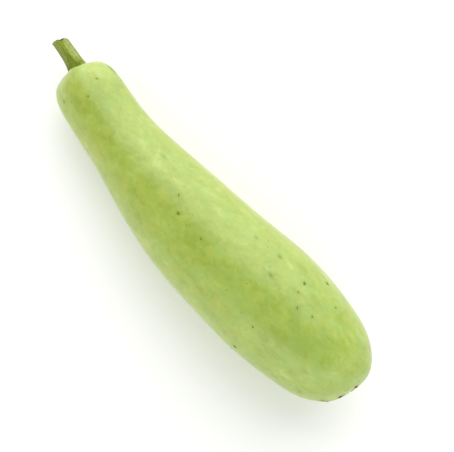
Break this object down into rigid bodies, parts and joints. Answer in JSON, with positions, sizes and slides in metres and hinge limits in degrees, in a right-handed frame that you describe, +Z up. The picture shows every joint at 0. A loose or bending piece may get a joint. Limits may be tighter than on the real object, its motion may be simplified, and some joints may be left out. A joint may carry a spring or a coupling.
{
  "type": "bottle gourd",
  "caption": "Long pale green bottle gourd with a ribbed stub of its stem, lying on its belly.",
  "frame": {"origin": "on the surface that the gourd lies on, under the middle of its length and width", "axes": "+X from the stem towards the blossom end, +Z up; the gourd lies on its belly"},
  "size_m": [0.3566, 0.0922, 0.0903],
  "materials": {
    "peel": "smooth satin vegetable skin, pale green with cloudy mottling and small pale flecks",
    "stem": "fibrous green stalk, ribbed, matt, darker at its foot, dried brown at its cut end"
  },
  "bodies": {
    "root": {"fruit": "peel", "stem": "stem"}
  },
  "joints": []
}
